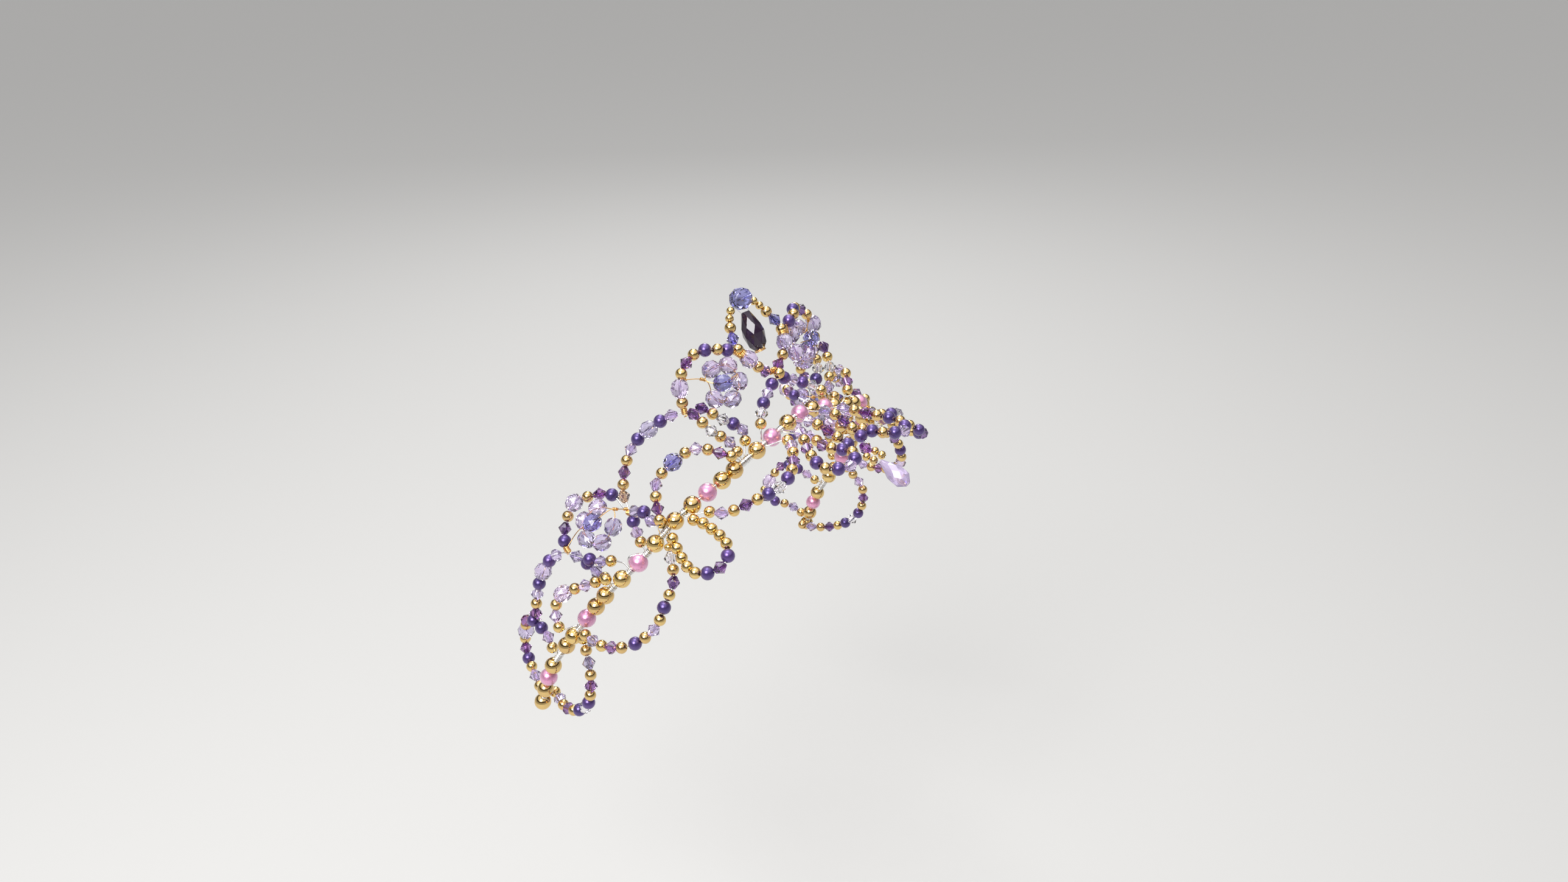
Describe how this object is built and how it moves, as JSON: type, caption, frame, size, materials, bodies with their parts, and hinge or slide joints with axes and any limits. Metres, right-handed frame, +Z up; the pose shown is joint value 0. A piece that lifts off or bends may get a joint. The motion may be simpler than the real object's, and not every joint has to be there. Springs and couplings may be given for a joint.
{
  "type": "beaded ballet tiara",
  "caption": "Ballet tiara of gold beads, pearls and cut crystals on wire: a band over the head, a raised crest with a peak and flowers, and arches and a drop over the forehead.",
  "frame": {"origin": "the point under the middle pearl of the band, where the band rests on the top of the head", "axes": "the wearer faces -Y, +X is the wearer's left, +Z is up"},
  "size_m": [0.1656, 0.1198, 0.1417],
  "materials": {
    "gold": "polished gold beads",
    "silver_wire": "drawn silver wire",
    "copper_wire": "thin copper-gold wire",
    "thread": "clear thread",
    "pink_pearl": "pearly pink lustre",
    "violet_pearl": "pearly violet lustre",
    "lilac_crystal": "clear lilac, cut and polished",
    "violet_crystal": "violet with a rainbow coating",
    "clear_crystal": "clear with a rainbow coating",
    "champagne_crystal": "clear champagne, cut and polished",
    "blue_crystal": "clear blue, cut and polished",
    "amethyst": "dark purple, cut and polished",
    "milky_lilac": "milky lilac, cut and polished"
  },
  "bodies": {
    "root": {"band": "gold", "pink_pearl_01": "pink_pearl", "pink_pearl_02": "pink_pearl", "pink_pearl_03": "pink_pearl", "pink_pearl_04": "pink_pearl", "pink_pearl_05": "pink_pearl", "pink_pearl_06": "pink_pearl", "pink_pearl_07": "pink_pearl", "pink_pearl_08": "pink_pearl", "pink_pearl_09": "pink_pearl", "pink_pearl_10": "pink_pearl", "pink_pearl_11": "pink_pearl", "peak_string_left": "gold", "upper_flower_loop_left": "gold", "centre_leg_left": "gold", "outer_crest_leg_left": "gold", "inner_crest_leg_left": "gold", "upper_back_arch_left": "gold", "forehead_loop_left": "gold", "centre_string_left": "gold", "upper_inner_arch_left": "gold", "lower_flower_loop_left": "gold", "upper_inner_string_left": "gold", "lower_inner_string_left": "gold", "lower_back_arch_left": "gold", "lower_inner_arch_left": "gold", "end_back_loop_left": "gold", "end_string_left": "gold", "end_front_loop_left": "gold", "side_front_arch_left": "gold", "gold_loop_left": "gold", "front_arch_left": "gold", "upper_flower_left": "lilac_crystal", "lower_flower_left": "lilac_crystal", "peak_string_right": "gold", "upper_flower_loop_right": "gold", "centre_leg_right": "gold", "outer_crest_leg_right": "gold", "inner_crest_leg_right": "gold", "upper_back_arch_right": "gold", "forehead_loop_right": "gold", "centre_string_right": "gold", "upper_inner_arch_right": "gold", "lower_flower_loop_right": "gold", "upper_inner_string_right": "gold", "lower_inner_string_right": "gold", "lower_back_arch_right": "gold", "lower_inner_arch_right": "gold", "end_back_loop_right": "gold", "end_string_right": "gold", "end_front_loop_right": "gold", "side_front_arch_right": "gold", "gold_loop_right": "gold", "front_arch_right": "gold", "upper_flower_right": "lilac_crystal", "lower_flower_right": "lilac_crystal", "top_crystal": "blue_crystal", "peak_briolette": "amethyst", "forehead_drop": "milky_lilac"}
  },
  "joints": []
}
